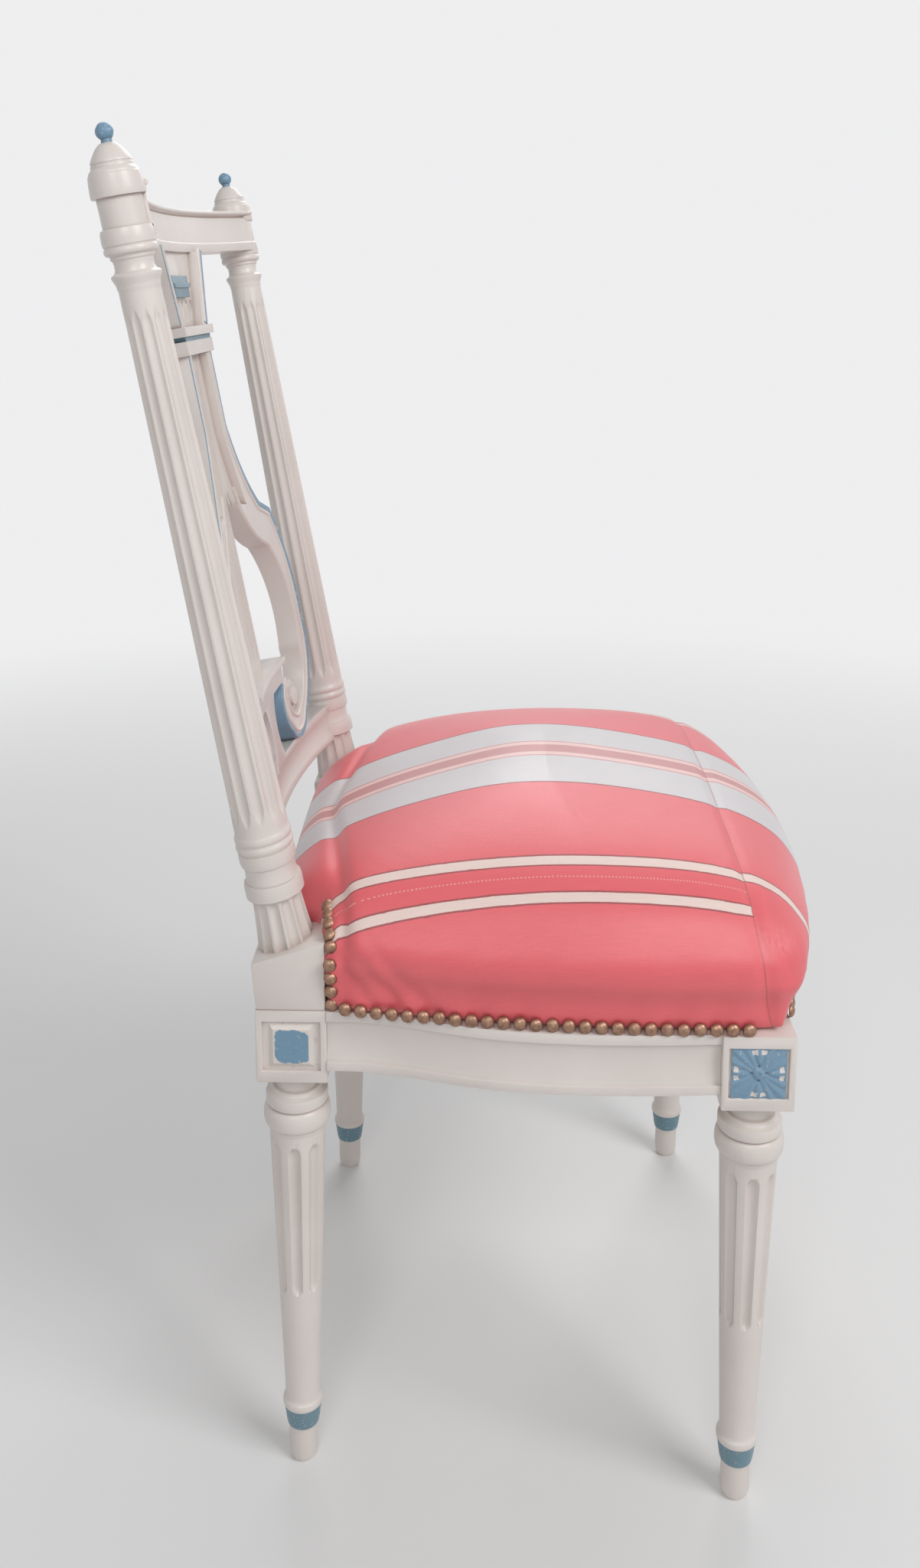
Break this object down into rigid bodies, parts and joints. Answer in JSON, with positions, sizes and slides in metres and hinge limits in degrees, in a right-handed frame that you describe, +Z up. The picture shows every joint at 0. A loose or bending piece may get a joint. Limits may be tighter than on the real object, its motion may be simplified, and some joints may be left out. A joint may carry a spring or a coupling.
{
  "type": "side chair",
  "caption": "Side chair with turned, fluted legs and posts, a lyre splat in a bowed back, and a domed, striped, nail-trimmed seat.",
  "frame": {"origin": "on the floor, at the centre of the bounding box", "axes": "+Z up, front of the seat toward -Y, +X to the sitter's left"},
  "size_m": [0.4664, 0.5269, 0.998],
  "materials": {
    "painted_wood": "satin off-white paint on beech, with light blue lines",
    "blue_paint": "brushed light blue paint",
    "bare_wood": "plain beech, unpainted inside the frame",
    "striped_satin": "coral satin with pale grey-blue, pink and cream stripes",
    "bronze_nails": "antique bronze",
    "steel_screws": "plain",
    "jute_webbing": "woven jute",
    "hessian_cloth": "coarse plain weave"
  },
  "bodies": {
    "root": {"front_leg_left": "painted_wood", "rear_post_left": "painted_wood", "side_rail_left": "painted_wood", "lyre_arm_left": "painted_wood", "corner_block_front_left": "bare_wood", "corner_block_rear_left": "bare_wood", "nails_left": "bronze_nails", "front_leg_right": "painted_wood", "rear_post_right": "painted_wood", "side_rail_right": "painted_wood", "lyre_arm_right": "painted_wood", "corner_block_front_right": "bare_wood", "corner_block_rear_right": "bare_wood", "nails_right": "bronze_nails", "finials": "painted_wood", "front_rail": "painted_wood", "rear_rail": "painted_wood", "crest_rail": "painted_wood", "lower_back_rail": "painted_wood", "lyre_head": "painted_wood", "lyre_strings": "painted_wood", "lyre_base": "painted_wood", "rosettes": "blue_paint", "block_panels": "blue_paint", "corner_screws": "steel_screws", "webbing": "jute_webbing", "hessian": "hessian_cloth", "seat_cushion": "striped_satin", "nails_front": "bronze_nails", "nails_back": "bronze_nails"}
  },
  "joints": []
}
